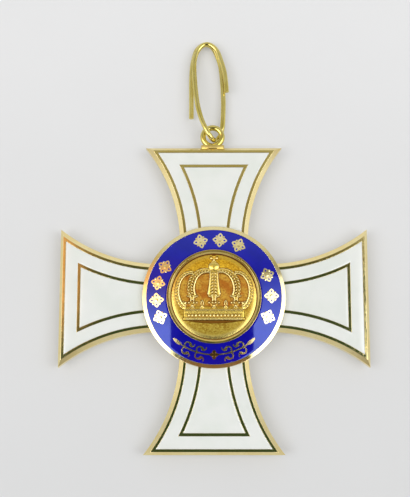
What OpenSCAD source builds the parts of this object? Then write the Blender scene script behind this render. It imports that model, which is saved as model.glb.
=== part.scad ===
// Enamelled order cross with a crown medallion, an eyelet and a wire loop for its ribbon.
// +Z is the front face, +Y points to the eyelet, and +X is to the right, seen from the front.
// The origin is the middle of the flat underside, which rests on a table.

/* [Cross] */
// Width across two opposite arms
span = 52; // [46:1:60]
// Thickness of the plate that carries the enamel
plate_t = 2.2; // [1.8:0.1:3]
// Half the width of an arm where it is narrowest
waist_w = 5.75; // [5:0.25:6.5]
// Distance from the middle to the narrowest place
waist_x = 8.9; // [8:0.1:10]
// Radius of the hollow side of an arm
side_r = 27.5; // [25:0.5:32]
// Width of the bevel along the hollow sides
side_bevel = 0.7; // [0.4:0.05:0.9]
// Width of the bevel along the straight end
end_bevel = 0.5; // [0.3:0.05:0.8]
// Height of the front bevel
bevel_h = 0.55; // [0.3:0.05:0.8]
// Height and width of the small bevel at the back
back_bevel = 0.3; // [0.15:0.05:0.4]
// Width of the polished flat between bevel and enamel
ledge_w = 0.45; // [0.3:0.05:0.7]

/* [White enamel] */
// Width of the outer band of white enamel
band_w = 2.1; // [1.6:0.1:2.6]
// Width of the gold line between band and field
line_w = 0.48; // [0.35:0.01:0.7]
// Depth of the enamel cells
cell_depth = 0.6; // [0.4:0.05:0.8]
// Gap between enamel and metal
seam = 0.02; // [0.01:0.01:0.05]

/* [Front medallion] */
// Diameter of the medallion
medal_d = 23.9; // [23:0.1:25]
// Height of the medallion's inner rim above the arms
medal_h = 1.3; // [1:0.1:1.8]
// How far the domed ring falls from its inner to its outer edge
ring_fall = 0.33; // [0.1:0.01:0.5]
// Width of the outer rim
outer_rim_w = 0.65; // [0.5:0.05:0.8]
// Outer diameter of the inner rim
inner_rim_d = 15.8; // [15.2:0.1:16.4]
// Width of the inner rim: its bead and the groove inside the bead
inner_rim_w = 0.8; // [0.6:0.05:1]

/* [Blue ring ornament] */
// Thickness of the gold ornament
ornament_t = 0.08; // [0.06:0.01:0.2]
// Width of the drawn gold lines
stroke_w = 0.3; // [0.2:0.02:0.34]
// Size of one floret from petal tip to petal tip
floret_size = 2.5; // [1.8:0.1:2.7]

/* [Crown] */
// Width of the circlet at the foot of the crown
circlet_w = 10; // [9:0.1:10.4]
// How far the domed disc falls from its middle to its edge
disc_fall = 0.16; // [0.05:0.01:0.2]
// Height of the relief
relief_h = 0.3; // [0.2:0.05:0.5]
// Radius of one pearl
pearl_r = 0.18; // [0.12:0.01:0.22]
// Distance from pearl to pearl
pearl_step = 0.6; // [0.5:0.01:0.7]

/* [Back] */
// Diameter of the back medallion
back_d = 20; // [18:0.5:22]
// Height of the back medallion below the arms
back_h = 1.1; // [0.8:0.1:1.4]

/* [Eyelet and loop] */
// Outer diameter of the eyelet
eyelet_d = 4.25; // [3.8:0.05:4.6]
// Diameter of the eyelet's hole
eyelet_hole = 2.3; // [2.1:0.05:2.5]
// Sideways place of the eyelet on the top edge
eyelet_x = -0.2; // [-0.4:0.1:0.2]
// Diameter of the loop's wire
wire_d = 0.85; // [0.7:0.05:0.9]

/* [Hidden] */
$fn = 64;

gold = "goldenrod";
white = "whitesmoke";
blue = "mediumblue";

// Heights from the table up
z_back = back_h;
z_front = z_back + plate_t;
z_rim = z_front + medal_h;

// The arm in its own frame, pointing along +X
half = span / 2;
side_y = waist_w + side_r;
arm_start = waist_x;
edge_w = side_bevel + ledge_w;
cell_end = half - end_bevel - ledge_w;
line_edge = edge_w + band_w;
line_end = cell_end - band_w;
field_edge = line_edge + line_w;
field_end = line_end - line_w;
back_edge = back_bevel + 0.9;
hub_r = medal_d / 2 - 0.35;
back_hub_r = back_d / 2 - 0.35;

// Turns of the four arms, with the name of each
SIDE_TURN = [["right", 0], ["top", 90], ["left", 180], ["bottom", 270]];
function turn_of(side) = [for (s = SIDE_TURN) if (s[0] == side) s[1]][0];

// Medallion levels and radii
medal_r = medal_d / 2;
floor_t = 0.5;
ring_out = medal_r - outer_rim_w;
ring_in = inner_rim_d / 2;
ring_mid = (ring_out + ring_in) / 2;
ring_slope = atan(ring_fall / (ring_out - ring_in));
z_floor = z_front + floor_t;
disc_r = ring_in - inner_rim_w;
disc_t = 0.45;
bead_h = 0.13;
z_disc = z_floor + disc_t;

// Height of the domed ring at a radius, and of the enamel a little under it
function ring_z(r) = z_rim - ring_fall * (r - ring_in) / (ring_out - ring_in);
function blue_z(r) = ring_z(r) - 0.02;

// Outline of an arm, drawn in by side_in from its sides, from x = start to x = end
module arm_outline(side_in, end, start = arm_start) {
    difference() {
        translate([start, -half]) square([end - start, span]);
        for (s = [-1, 1]) translate([waist_x, s * side_y]) circle(r = side_r + side_in, $fn = 180);
    }
}

// What two bevelled hollow sides take away, from z0 up to z1, wider by grow at z1
module side_bevels(z0, z1, grow) {
    over = 0.2;
    slope = grow / (z1 - z0);
    r_low = side_r - over * slope;
    r_high = side_r + grow + over * slope;
    for (s = [-1, 1]) translate([waist_x, s * side_y, z0 - over])
        cylinder(r1 = r_low, r2 = r_high, h = z1 - z0 + 2 * over, $fn = 180);
}

// The bevel on the straight end, as a wedge across the arm
module end_bevel_cut(z_edge, z_face, grow) {
    up = sign(z_face - z_edge);
    rotate([90, 0, 0]) linear_extrude(span, center = true)
        polygon([[half - grow, z_face], [half + grow, z_edge + (z_edge - z_face)],
                 [half + grow, z_face + up], [half - grow, z_face + up]]);
}

module arm() {
    difference() {
        translate([0, 0, z_back]) linear_extrude(plate_t) arm_outline(0, half);
        side_bevels(z_front - bevel_h, z_front, side_bevel);
        translate([0, 0, 2 * z_back + back_bevel]) mirror([0, 0, 1])
            side_bevels(z_back, z_back + back_bevel, back_bevel);
        end_bevel_cut(z_front - bevel_h, z_front, end_bevel);
        end_bevel_cut(z_back + back_bevel, z_back, back_bevel);
    }
}

// One white cell or its enamel: shrink is 0 for the cell and the seam's width for the enamel
module band_shape(shrink) {
    difference() {
        arm_outline(edge_w + shrink, cell_end - shrink);
        arm_outline(line_edge - shrink, line_end + shrink);
        circle(r = hub_r + shrink, $fn = 120);
    }
}

module field_shape(shrink) {
    difference() {
        arm_outline(field_edge + shrink, field_end - shrink);
        circle(r = hub_r + shrink, $fn = 120);
    }
}

module back_shape(shrink) {
    difference() {
        arm_outline(back_edge + shrink, half - back_edge - shrink, arm_start + shrink);
        circle(r = back_hub_r + shrink, $fn = 120);
    }
}

// The eyelet lies in the plane of the plate, with a flat foot along the top edge
eyelet_tube = (eyelet_d - eyelet_hole) / 4;
eyelet_ring = eyelet_d / 2 - eyelet_tube;
eyelet_y = half + 2.15;
eyelet_z = z_back + plate_t / 2;
foot_w = 4;
foot_h = 0.6;
foot_t = 1.3;

module eyelet() {
    translate([eyelet_x, eyelet_y, eyelet_z]) rotate_extrude($fn = 64)
        translate([eyelet_ring, 0]) circle(r = eyelet_tube, $fn = 32);
    translate([eyelet_x - foot_w / 2, half - 0.1, eyelet_z - foot_t / 2])
        cube([foot_w, foot_h + 0.1, foot_t]);
}

module cross_frame() {
    color(gold) {
        difference() {
            union() {
                for (s = SIDE_TURN) rotate(s[1]) arm();
                translate([0, 0, z_back]) cylinder(r = hub_r, h = plate_t, $fn = 120);
            }
            for (s = SIDE_TURN) rotate(s[1]) {
                translate([0, 0, z_front - cell_depth]) linear_extrude(cell_depth + 1) {
                    band_shape(0);
                    field_shape(0);
                }
                translate([0, 0, z_back - 1]) linear_extrude(cell_depth + 1) back_shape(0);
            }
        }
        eyelet();
    }
}

enamel_t = cell_depth - 2 * seam;

module enamel_band(side) {
    color(white) rotate(turn_of(side)) translate([0, 0, z_front - cell_depth + seam])
        linear_extrude(enamel_t) band_shape(seam);
}

module enamel_field(side) {
    color(white) rotate(turn_of(side)) translate([0, 0, z_front - cell_depth + seam])
        linear_extrude(enamel_t) field_shape(seam);
}

module enamel_back(side) {
    color(white) rotate(turn_of(side)) translate([0, 0, z_back + seam])
        linear_extrude(enamel_t) back_shape(seam);
}

// Ring frame of the front medallion: a domed outer rim, the floor, and a rounded bead by the disc's groove
module front_medallion() {
    chamfer = 0.15;
    bead_w = inner_rim_w * 0.75;
    bead_mid = ring_in - bead_w / 2;
    bead = [for (a = [0:22.5:180]) [bead_mid + bead_w / 2 * cos(a), z_rim + bead_h * sin(a)]];
    color(gold) rotate_extrude($fn = 180) polygon(concat([[0, z_front], [medal_r, z_front],
        [medal_r, ring_z(medal_r) - chamfer], [medal_r - chamfer, ring_z(medal_r - chamfer)],
        [ring_out, ring_z(ring_out)], [ring_out, z_floor], [ring_in, z_floor]], bead,
        [[ring_in - bead_w, z_floor], [0, z_floor]]));
}

module front_blue_ring() {
    low = z_floor + seam;
    inner = ring_in + seam;
    outer = ring_out - seam;
    color(blue) rotate_extrude($fn = 180)
        polygon([[inner, low], [outer, low], [outer, blue_z(outer)], [inner, blue_z(inner)]]);
}

// Drawn lines: a path of points becomes a polygon of even width
function unit(v) = v / norm(v);
function arc_path(c, r, a0, a1, n = 12) = [for (i = [0:n]) let (a = a0 + (a1 - a0) * i / n)
    [c[0] + r * cos(a), c[1] + r * sin(a)]];
function heading(p, i) = unit(p[min(i + 1, len(p) - 1)] - p[max(i - 1, 0)]);
function side_path(p, d) = tapered_side(p, 2 * d, 2 * d);
function reversed(p) = [for (i = [len(p) - 1:-1:0]) p[i]];

// The line is w wide at its start and w_end wide at its end
function tapered_side(p, w, w_end) = [for (i = [0:len(p) - 1])
    let (d = (w + (w_end - w) * i / (len(p) - 1)) / 2)
    p[i] + d * [-heading(p, i)[1], heading(p, i)[0]]];
module stroke(p, w, w_end = undef) {
    e = is_undef(w_end) ? w : w_end;
    polygon(concat(tapered_side(p, w, e), reversed(tapered_side(p, -w, -e))));
}

// A floret: four pierced, pointed petals round a boss, with a bud on a stalk between each two petals
function petal(from, long, wide) =
    let (n = 8, rise = [for (i = [0:n]) wide / 2 * pow(sin(180 * i / n), 0.8)])
    concat([for (i = [0:n]) [from + long * i / n, rise[i]]],
           [for (i = [n - 1:-1:1]) [from + long * i / n, -rise[i]]]);

// A flat shape becomes a thin plate of gold
module plate() {
    linear_extrude(ornament_t) children();
}

// Lays plates on the domed ring at a radius, straight to the right of the middle, with X outward
module on_ring(r) {
    translate([r, 0, blue_z(r) + 0.01]) rotate([0, ring_slope, 0]) children();
}

module floret() {
    tip = floret_size / 2;
    boss_r = floret_size * 0.12;
    petal_from = boss_r * 0.6;
    petal_w = floret_size * 0.32;
    bud_r = floret_size * 0.07;
    bud_at = tip * 0.66;
    plate() circle(r = boss_r, $fn = 32);
    for (a = [0:90:270]) rotate(a) plate() difference() {
        polygon(petal(petal_from, tip - petal_from, petal_w));
        polygon(petal(tip * 0.42, tip * 0.38, petal_w * 0.42));
    }
    for (a = [45:90:315]) rotate(a) {
        plate() translate([bud_at, 0]) circle(r = bud_r, $fn = 24);
        plate() translate([0, -bud_r / 2]) square([bud_at, bud_r]);
    }
}

// Each group of florets: its name, how many, the angle of its middle, and the angle from one to the next
FLORET_GROUP = [["left", 4, 175, 17.5], ["top", 3, 84, 19.5], ["right", 3, 0.5, 21.5]];

module florets(g) {
    color(gold) for (i = [0:g[1] - 1]) rotate(g[2] + (i - (g[1] - 1) / 2) * g[3])
        on_ring(ring_mid) floret();
}

// Scroll spray at the foot of the blue ring, measured in degrees from its lowest place
stem_r = 9.7;
boss_w = 1.4;
boss_h = 1.56;
tendril_at = [15.4, 28.6];
leaf_from = 32.5;
leaf_to = 45;
leaf_w = 0.6;
hook_r = 0.5;
curl_r = 0.34;

// One tendril: a wide hook off the stem that turns back into a small curl; out is 1 or -1
module tendril(out) {
    hook_c = [-0.05, out * hook_r];
    curl_c = hook_c + (hook_r + curl_r) * [-cos(35), out * sin(35)];
    hook = arc_path(hook_c, hook_r, -out * 90, out * 127, 12);
    plate() stroke(concat(hook, arc_path(curl_c, curl_r, -out * 35, -out * 215, 10)), stroke_w);
    plate() translate(hook[len(hook) - 1]) circle(r = stroke_w * 0.8, $fn = 24);
}

// Turns a shape drawn at the lowest place of the stem to its place on the ring
module on_stem(a) {
    rotate(a - 90) on_ring(stem_r) rotate(90) children();
}

module leaf() {
    reach = (leaf_to - leaf_from) / 2;
    plate() polygon([for (q = [[-reach, 0], [0, leaf_w / 2], [reach, 0], [0, -leaf_w / 2]])
        [(stem_r + q[1]) * sin(q[0]), stem_r - (stem_r + q[1]) * cos(q[0])]]);
}

// The stem is laid in short arcs, so that it follows the dome
module stem_piece(half_angle) {
    path = arc_path([0, stem_r], stem_r, -90 - half_angle, -90 + half_angle, 8);
    plate() stroke(path, stroke_w * 0.8);
}

module half_spray() {
    pieces = 4;
    half_angle = (leaf_from + 1) / pieces / 2;
    for (i = [0:pieces - 1]) on_stem((2 * i + 1) * half_angle) stem_piece(half_angle + 0.8);
    on_stem((leaf_from + leaf_to) / 2) leaf();
    for (a = tendril_at, out = [-1, 1]) on_stem(a) tendril(out);
}

// The boss in the middle of the spray: a round middle with a bud at each of its four corners
module boss() {
    middle_r = boss_w * 0.36;
    bud_r = boss_w * 0.2;
    plate() circle(r = middle_r, $fn = 40);
    for (s = [-1, 1]) {
        plate() translate([s * (boss_w / 2 - bud_r), 0]) circle(r = bud_r, $fn = 24);
        plate() translate([0, s * (boss_h / 2 - bud_r)]) circle(r = bud_r, $fn = 24);
    }
}

module scroll_spray() {
    color(gold) {
        half_spray();
        mirror([1, 0, 0]) half_spray();
        on_stem(0) boss();
    }
}

// Crown relief, drawn from the middle of the disc
circlet_low = -4.12;
circlet_high = -2.2;
pearl_row_y = -3.2;
// The two arches on the left: middle, half axes, first and last angle, width at the top and at the foot
ARCH = [
    [[-1.3, 1.4], [2.52, 2.95], 74, 206, 0.7, 1.34],
    [[-3.9, 0.9], [2.25, 3.1], 80, 243, 0.62, 0.84]];
arch_rim_w = 0.2;
strip_top = 4.3;
orb_y = 5;
orb_r = 0.9;
orb_h = 0.42;
cross_y = 6.42;
// Length of the cross's arms: up and down, then sideways
cross_arm = [0.56, 0.8];

function ellipse_path(c, h, a0, a1, n) = [for (i = [0:n]) let (a = a0 + (a1 - a0) * i / n)
    [c[0] + h[0] * cos(a), c[1] + h[1] * sin(a)]];
function mirrored(half_path) = concat(half_path, [for (p = reversed(half_path)) [-p[0], p[1]]]);

module raised(h) {
    translate([0, 0, z_disc - 0.25]) linear_extrude(h + 0.25) children();
}

module pearl(p, lift = 0, r = pearl_r) {
    translate([p[0], p[1], z_disc + lift]) sphere(r = r, $fn = 24);
}

module arch(a) {
    middle = ellipse_path(a[0], a[1], a[2], a[3], 20);
    raised(relief_h) stroke(middle, a[4], a[5]);
    rim = tapered_side(middle, a[4] - arch_rim_w, a[5] - arch_rim_w);
    raised(relief_h + 0.12) stroke(rim, arch_rim_w);
    length = (a[3] - a[2]) * PI / 180 * (a[1][0] + a[1][1]) / 2;
    count = floor(length / pearl_step);
    beads = side_path(ellipse_path(a[0], a[1], a[2], a[3], count), -a[4] * 0.2);
    for (i = [1:count]) pearl(beads[i], relief_h);
}

// The middle arch seen from the front: a strip that widens into a leaf
module centre_strip() {
    raised(relief_h) polygon(mirrored([[0.72, strip_top], [0.74, 3.2], [0.84, 2.0], [1.0, 1.0], [1.14, 0.4],
        [1.02, 0.2], [0.62, 0.0], [0.34, -0.3], [0.42, -0.75]]));
    for (i = [0:6]) pearl([0, strip_top - 0.3 - i * pearl_step], relief_h + 0.04);
    for (s = [-1, 1]) raised(relief_h + 0.12) mirror([s < 0 ? 1 : 0, 0])
        stroke([[0.6, strip_top], [0.61, 3.2], [0.7, 2.0], [0.85, 1.0], [0.97, 0.45]], arch_rim_w);
}

// Leaf on the circlet with pearls in its foot
module leaf_foot(x, w) {
    raised(relief_h * 0.9) translate([x, 0])
        polygon(mirrored([[0.3, 0.45], [0.9 * w, 0.05], [0.55 * w, -0.2], [0.32 * w, -0.5],
            [1.02 * w, -1.1], [0.5 * w, -1.4], [0.22 * w, -1.75], [0.26 * w, circlet_high - 0.1]]));
    for (i = [-2:2]) pearl([x + i * 0.38 * w, -1.12 + 0.05 * abs(i)], relief_h * 0.9);
    for (s = [-1, 1]) pearl([x + s * 0.25 * w, -0.02], relief_h * 0.9);
}

module small_fleuron(x) {
    raised(relief_h * 0.8) translate([x, 0])
        polygon(mirrored([[0.05, -0.75], [0.22, -1.0], [0.36, -1.3], [0.16, -1.6],
            [0.2, circlet_high - 0.1]]));
    for (s = [-1, 1]) pearl([x + s * 0.19, -1.1], relief_h * 0.8);
    pearl([x, -1.45], relief_h * 0.8);
}

// Half a leaf at each end of the circlet
module end_leaf() {
    raised(relief_h * 0.8) polygon([[-5.3, -0.7], [-4.75, -0.95], [-4.55, -1.4], [-4.75, circlet_high - 0.1],
        [-5.05, circlet_high - 0.1]]);
    pearl([-4.85, -1.15], relief_h * 0.8);
}

module circlet() {
    w = circlet_w;
    raised(relief_h * 0.8) translate([-w / 2, circlet_low]) square([w, circlet_high - circlet_low]);
    // Mouldings along the circlet: height on the disc, radius and length
    mouldings = [[circlet_low + 0.14, 0.17, w], [circlet_low + 0.5, 0.13, w - 0.1],
                 [circlet_high - 0.12, 0.13, w - 0.1]];
    for (m = mouldings) translate([-m[2] / 2, m[0], z_disc + relief_h * 0.8 - 0.02])
        rotate([0, 90, 0]) cylinder(r = m[1], h = m[2], $fn = 32);
    count = floor((w - 0.8) / pearl_step / 2);
    for (i = [-count:count]) pearl([i * pearl_step, pearl_row_y], relief_h * 0.85);
}

module orb_and_cross() {
    // The orb is a cap of a larger ball, cut to its width a little above the disc
    cut_h = orb_h - 0.06;
    ball_r = (orb_r * orb_r + cut_h * cut_h) / (2 * cut_h);
    intersection() {
        translate([0, orb_y, z_disc + orb_h - ball_r]) sphere(r = ball_r, $fn = 64);
        translate([0, orb_y, z_disc - disc_t / 2]) cylinder(r = orb_r, h = orb_r, $fn = 64);
    }
    for (k = [0:3]) raised(relief_h * 0.8) translate([0, cross_y]) rotate(90 * k)
        polygon([[-0.07, 0], [0.07, 0], [0.28, cross_arm[k % 2]], [-0.28, cross_arm[k % 2]]]);
    for (s = [-1, 1], v = [-1, 1]) pearl([s * cross_arm[1] * 0.88, cross_y + v * 0.24], relief_h * 0.8, 0.1);
}

module crown_disc() {
    dome = [for (k = [0, 0.5, 0.7, 0.8, 0.87, 0.93, 1])
        [(disc_r - seam) * k, z_disc - disc_fall * pow(k, 6)]];
    color(gold) {
        rotate_extrude($fn = 120) polygon(concat([[disc_r - seam, z_floor], [0, z_floor]], dome));
        circlet();
        for (m = [0, 1]) mirror([m, 0, 0]) {
            for (a = ARCH) arch(a);
            leaf_foot(-3.6, 1);
            small_fleuron(-1.97);
            end_leaf();
        }
        leaf_foot(0, 1.1);
        centre_strip();
        orb_and_cross();
    }
}

// The back is plain: a low frame, a blue ring and a plain disc that carries the weight on the table
back_rim_w = 0.7;
back_ring_w = 2.6;
back_ring_out = back_d / 2 - back_rim_w;
back_ring_in = back_ring_out - back_ring_w;
back_disc_r = back_ring_in - back_rim_w;
back_cell = 0.55;

module back_medallion() {
    color(gold) difference() {
        cylinder(r = back_d / 2, h = z_back, $fn = 180);
        translate([0, 0, -1]) difference() {
            cylinder(r = back_ring_out, h = back_cell + 1, $fn = 180);
            translate([0, 0, -1]) cylinder(r = back_ring_in, h = back_cell + 3, $fn = 180);
        }
        translate([0, 0, -1]) cylinder(r = back_disc_r, h = back_cell + 1, $fn = 180);
    }
}

module back_blue_ring() {
    color(blue) translate([0, 0, seam]) difference() {
        cylinder(r = back_ring_out - seam, h = back_cell - 2 * seam, $fn = 180);
        translate([0, 0, -1]) cylinder(r = back_ring_in + seam, h = back_cell + 2, $fn = 180);
    }
}

module back_disc() {
    color(gold) cylinder(r = back_disc_r - seam, h = back_cell - seam, $fn = 180);
}

// The loop is one wire of nearly two turns. Each row is x, y and z on its middle line:
// it starts at the free end on the left, goes round the far end low down, passes under the
// eyelet, comes up through its hole, and goes round the far end again on top.
LOOP = [
    [-3.9, 31.8, 1.15], [-3.9, 35.8, 0.95], [-3.9, 39.4, 0.75], [-3.6, 42.5, 0.58], [-2.9, 44.7, 0.47],
    [-1.5, 45.7, 0.45], [-0.1, 45.0, 0.47], [1.0, 42.5, 0.55], [1.4, 40.3, 0.65], [1.6, 37.6, 0.85],
    [1.7, 35.0, 1.0], [1.65, 32.3, 1.1], [1.5, 30.1, 1.12], [1.15, 28.8, 1.1], [0.65, 28.0, 1.3],
    [0.15, 27.65, 1.85], [-0.15, 27.65, 2.5], [-0.6, 28.05, 3.05], [-1.35, 29.3, 3.27], [-2.2, 31.4, 3.05],
    [-2.8, 33.9, 2.7], [-3.2, 37.1, 2.3], [-3.4, 39.9, 1.95], [-3.4, 42.1, 1.65], [-2.9, 44.0, 1.45],
    [-1.9, 45.2, 1.38], [-0.7, 45.3, 1.38], [0.5, 44.3, 1.42], [1.3, 42.3, 1.55], [1.9, 40.0, 1.7],
    [2.15, 38.0, 1.8], [2.25, 36.4, 1.88]];
loop_rings_per_row = 2;
loop_sides = 8;

// Smooth curve through the rows, and the tube swept along it
function knot(p, i) = i < 0 ? 2 * p[0] - p[1] : i >= len(p) ? 2 * p[len(p) - 1] - p[len(p) - 2] : p[i];
function between(a, b, c, d, t) = 0.5 * (2 * b + (c - a) * t + (2 * a - 5 * b + 4 * c - d) * t * t
    + (3 * b - a - 3 * c + d) * t * t * t);
function smooth_path(p, k) = concat(
    [for (i = [0:len(p) - 2], j = [0:k - 1]) between(knot(p, i - 1), p[i], p[i + 1], knot(p, i + 2), j / k)],
    [p[len(p) - 1]]);
function tangent(p, i) = unit(p[min(i + 1, len(p) - 1)] - p[max(i - 1, 0)]);
// Each ring's side vector is the last one's, made square to the new direction
function side_vectors(p, i = 0, last = [1, 0, 0]) = i >= len(p) ? [] :
    let (t = tangent(p, i), s = unit(last - (last * t) * t)) concat([s], side_vectors(p, i + 1, s));

module tube(p, r, sides) {
    across = side_vectors(p);
    rings = [for (i = [0:len(p) - 1]) let (t = tangent(p, i), s = across[i], u = cross(t, s))
        for (k = [0:sides - 1]) let (a = 360 * k / sides) p[i] + r * (cos(a) * s + sin(a) * u)];
    last = (len(p) - 1) * sides;
    walls = [for (i = [0:len(p) - 2], k = [0:sides - 1]) let (n = (k + 1) % sides)
        each [[i * sides + k, i * sides + n, (i + 1) * sides + k],
              [i * sides + n, (i + 1) * sides + n, (i + 1) * sides + k]]];
    ends = [[for (k = [sides - 1:-1:0]) k], [for (k = [0:sides - 1]) last + k]];
    polyhedron(points = rings, faces = [for (f = concat(walls, ends)) reversed(f)]);
}

module ribbon_loop() {
    color(gold) tube(smooth_path(LOOP, loop_rings_per_row), wire_d / 2, loop_sides);
}

cross_frame();
for (s = SIDE_TURN) {
    enamel_band(s[0]);
    enamel_field(s[0]);
    enamel_back(s[0]);
}
front_medallion();
front_blue_ring();
for (g = FLORET_GROUP) {
    florets(g);
}
scroll_spray();
crown_disc();
back_medallion();
back_blue_ring();
back_disc();
ribbon_loop();
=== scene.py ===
"""Looks of the order cross: gilt metal, white and blue enamel, struck crown, wire loop and a pale studio."""

import math

import bmesh
import bpy
import numpy as np
from mathutils import Matrix, Vector


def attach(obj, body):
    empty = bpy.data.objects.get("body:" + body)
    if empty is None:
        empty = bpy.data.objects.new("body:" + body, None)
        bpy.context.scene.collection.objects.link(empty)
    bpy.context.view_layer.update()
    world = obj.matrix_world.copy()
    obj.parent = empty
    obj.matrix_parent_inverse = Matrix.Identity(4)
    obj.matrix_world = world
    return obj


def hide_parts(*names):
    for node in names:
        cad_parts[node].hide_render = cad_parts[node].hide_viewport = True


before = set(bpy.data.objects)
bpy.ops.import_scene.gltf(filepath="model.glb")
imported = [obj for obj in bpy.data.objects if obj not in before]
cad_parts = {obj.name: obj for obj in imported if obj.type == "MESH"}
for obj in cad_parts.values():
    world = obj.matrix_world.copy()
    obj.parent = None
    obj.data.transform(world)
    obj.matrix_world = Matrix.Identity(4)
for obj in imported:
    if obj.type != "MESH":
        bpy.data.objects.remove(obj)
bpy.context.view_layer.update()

# Sizes in millimetres, the same as the part's own
MM = 0.001
HALF_SPAN = 26.0
WAIST_X = 8.9
WAIST_W = 5.75
SIDE_R = 27.5
SIDE_Y = WAIST_W + SIDE_R
Z_BACK = 1.1
Z_FRONT = 3.3
SIDE_BEVEL = 0.7
END_BEVEL = 0.5
BEVEL_H = 0.55
BACK_BEVEL = 0.3
LEDGE_W = 0.45
CELL_DEPTH = 0.6
BAND_W = 2.1
LINE_W = 0.48
SEAM = 0.02
HUB_R = 11.6
RIM_COVER_R = 11.3
BACK_COVER_R = 9.6
EDGE_IN = SIDE_BEVEL + LEDGE_W
LINE_IN = EDGE_IN + BAND_W
FIELD_IN = LINE_IN + LINE_W
BACK_EDGE_IN = 1.2

# The medallion: radii and heights, with the blue ring as part of a wide sphere
MEDAL_R = 11.95
RIM_IN = 11.3
BEAD_OUT = 7.9
BEAD_CREST = 7.54
BEAD_IN = 7.26
BEAD_H = 0.1
BEAD_SLOPE = 0.24
DISC_R = 7.09
DOME_R = 100.0
Z_BLUE_MID = 4.42
R_BLUE_MID = 9.6
Z_DISC = 4.25
DISC_FALL = 0.16

# The floors under the blue ring and the disc, the gap under the medallion, and how near points merge
Z_BLUE_FLOOR = 3.85
Z_DISC_FLOOR = 3.8
CLEAR = 0.002
WELD = 0.0004

# Points along each stretch of an arm's outline
N_SIDE = 48
N_END = 20
N_HUB = 8

QUARTERS = (0, 90, 180, 270)


def new_object(name, data):
    """A new object of the scene that shows the data."""
    obj = bpy.data.objects.new(name, data)
    bpy.context.scene.collection.objects.link(obj)
    return obj


def second_material(obj, material, chosen):
    """Gives a further material to the faces whose middle, in millimetres, is chosen."""
    obj.data.materials.append(material)
    for face in obj.data.polygons:
        if chosen(face.center / MM):
            face.material_index = len(obj.data.materials) - 1


def make_piece(name, solid, material, replaced, sharp=38):
    """Makes one piece from a solid in millimetres, shaded smooth but for edges above the sharp angle."""
    verts, faces = solid
    mesh = bpy.data.meshes.new(name)
    mesh.from_pydata([tuple(v) for v in np.asarray(verts, float) * MM], [], faces)
    bm = bmesh.new()
    bm.from_mesh(mesh)
    bmesh.ops.remove_doubles(bm, verts=bm.verts, dist=WELD * MM)
    bmesh.ops.recalc_face_normals(bm, faces=bm.faces)
    bm.to_mesh(mesh)
    bm.free()
    mesh.polygons.foreach_set("use_smooth", [True] * len(mesh.polygons))
    mesh.set_sharp_from_angle(angle=math.radians(sharp))
    mesh.materials.append(material)
    obj = new_object(name, mesh)
    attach(obj, "root")
    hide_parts(*replaced)
    return obj


class Shape:
    """Points and faces of one piece, gathered from several closed solids."""

    def __init__(self, *solids):
        self.verts = []
        self.faces = []
        for solid in solids:
            self.add(solid)

    def add(self, solid):
        verts, faces = solid
        base = len(self.verts)
        self.verts.extend([tuple(v) for v in verts])
        self.faces.extend([tuple(base + i for i in f) for f in faces])

    def join(self, other):
        self.add((other.verts, other.faces))

    def turned(self, degrees):
        """A copy turned about the middle of the cross."""
        a = math.radians(degrees)
        turn = np.array([[math.cos(a), math.sin(a), 0], [-math.sin(a), math.cos(a), 0], [0, 0, 1]])
        return Shape((np.array(self.verts) @ turn, self.faces))

    def piece(self, name, material, slot, replaced, sharp=38):
        return make_piece(name, (self.verts, self.faces), material, replaced, sharp)


def grid_faces(rows, cols, wrap_rows=False, wrap_cols=False):
    """Quads over a grid of points that is stored row by row."""
    faces = []
    for i in range(rows if wrap_rows else rows - 1):
        for j in range(cols if wrap_cols else cols - 1):
            a, b = i * cols + j, i * cols + (j + 1) % cols
            c, d = (i + 1) % rows * cols + (j + 1) % cols, (i + 1) % rows * cols + j
            faces.append((a, b, c, d))
    return faces


def loft_closed(loops):
    """A solid through closed loops that have the same number of points, capped at both ends."""
    n = len(loops[0])
    faces = grid_faces(len(loops), n, wrap_cols=True)
    faces.append(tuple(range(n - 1, -1, -1)))
    faces.append(tuple((len(loops) - 1) * n + i for i in range(n)))
    return np.concatenate(loops), faces


def sweep_section(rows):
    """A solid whose closed section is rows, each an open path of points, with both ends capped."""
    rows = [np.asarray(r, float) for r in rows]
    n = len(rows[0])
    faces = grid_faces(len(rows), n, wrap_rows=True)
    faces.append(tuple(i * n for i in range(len(rows))))
    faces.append(tuple(i * n + n - 1 for i in range(len(rows) - 1, -1, -1)))
    return np.concatenate(rows), faces


def sweep_ring(rows):
    """A solid whose closed section is rows, each a closed loop."""
    rows = [np.asarray(r, float) for r in rows]
    return np.concatenate(rows), grid_faces(len(rows), len(rows[0]), wrap_rows=True, wrap_cols=True)


def slab(grid, z_low):
    """A closed slab under a grid of top points, with straight walls down to one flat face at z_low."""
    rows, cols = grid.shape[:2]
    top = grid.reshape(-1, 3)
    edge = [*range(cols), *range(2 * cols - 1, rows * cols, cols)]
    edge += [*range(rows * cols - 2, (rows - 1) * cols - 1, -1), *range((rows - 2) * cols, 0, -cols)]
    low = top[edge]
    low[:, 2] = z_low
    n, m = len(top), len(edge)
    faces = grid_faces(rows, cols)
    faces += [(edge[(k + 1) % m], edge[k], n + k, n + (k + 1) % m) for k in range(m)]
    faces.append(tuple(n + k for k in reversed(range(m))))
    return np.concatenate([top, low]), faces


def lathe(profile, segments):
    """A solid of revolution. The profile is a closed outline of radius and height, off the axis."""
    angles = np.linspace(0, 2 * math.pi, segments, endpoint=False)
    rows = [np.stack([r * np.cos(angles), r * np.sin(angles), np.full(segments, z)], 1) for r, z in profile]
    return sweep_ring(rows)


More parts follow.
